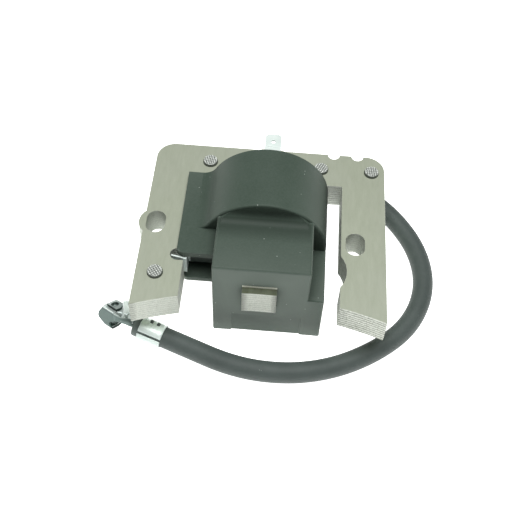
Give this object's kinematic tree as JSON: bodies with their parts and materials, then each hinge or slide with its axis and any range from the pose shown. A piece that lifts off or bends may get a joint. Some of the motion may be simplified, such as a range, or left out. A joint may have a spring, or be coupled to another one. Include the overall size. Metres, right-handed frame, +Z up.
{
  "type": "ignition coil",
  "caption": "Small-engine ignition module: laminated E-core with slotted legs, potted coil housing, blade kill tab, and a curved rubber lead with a crimped spark-plug clip.",
  "frame": {"origin": "on the plane of the housing's flat underside, straight below the centre leg's middle line and level with the middle of the two mounting slots", "axes": "+Z up, away from the housing's underside; the core's legs point to -Y, towards the flywheel; +X to the right seen from the flywheel"},
  "size_m": [0.1239, 0.0986, 0.0452],
  "materials": {
    "core_steel": "rolled silicon steel sheet, thin grey-green core coating",
    "rivet_steel": "plated steel, cross-hatched heads",
    "housing_plastic": "moulded glass-filled nylon, dark grey-green, semi-matte",
    "potting_resin": "cast epoxy, dark",
    "spool_plastic": "moulded natural nylon",
    "magnet_wire": "enamelled copper wire, wound",
    "board_laminate": "glass-epoxy laminate with green solder mask",
    "component_case": "moulded epoxy component case",
    "bare_wire": "tinned copper wire",
    "tinned_steel": "bright tin plate",
    "clip_steel": "plated spring steel",
    "cream_plastic": "moulded natural nylon",
    "grommet_rubber": "moulded rubber",
    "lead_rubber": "extruded synthetic rubber, matte"
  },
  "bodies": {
    "root": {"core_lamination_01": "core_steel", "core_lamination_02": "core_steel", "core_lamination_03": "core_steel", "core_lamination_04": "core_steel", "core_lamination_05": "core_steel", "core_lamination_06": "core_steel", "core_lamination_07": "core_steel", "core_lamination_08": "core_steel", "core_lamination_09": "core_steel", "core_rivets": "rivet_steel", "core_wedge": "cream_plastic", "housing": "housing_plastic", "potting_compound": "potting_resin", "charge_coil_spool": "spool_plastic", "charge_coil_winding": "magnet_wire", "trigger_coil_spool": "spool_plastic", "trigger_coil_winding": "magnet_wire", "primary_spool": "spool_plastic", "primary_winding": "magnet_wire", "secondary_spool": "spool_plastic", "secondary_winding": "magnet_wire", "circuit_board": "board_laminate", "storage_capacitor": "component_case", "thyristor": "component_case", "rectifier_diodes": "component_case", "gate_resistor": "component_case", "kill_wire": "bare_wire", "ground_wire": "bare_wire", "lead_contact": "bare_wire", "kill_terminal": "tinned_steel", "terminal_insulator": "cream_plastic", "ground_strap": "tinned_steel", "lead_grommet": "grommet_rubber", "lead_jacket": "lead_rubber", "lead_conductor": "bare_wire", "crimp_ferrule": "tinned_steel", "spark_plug_clip": "clip_steel"}
  },
  "joints": []
}
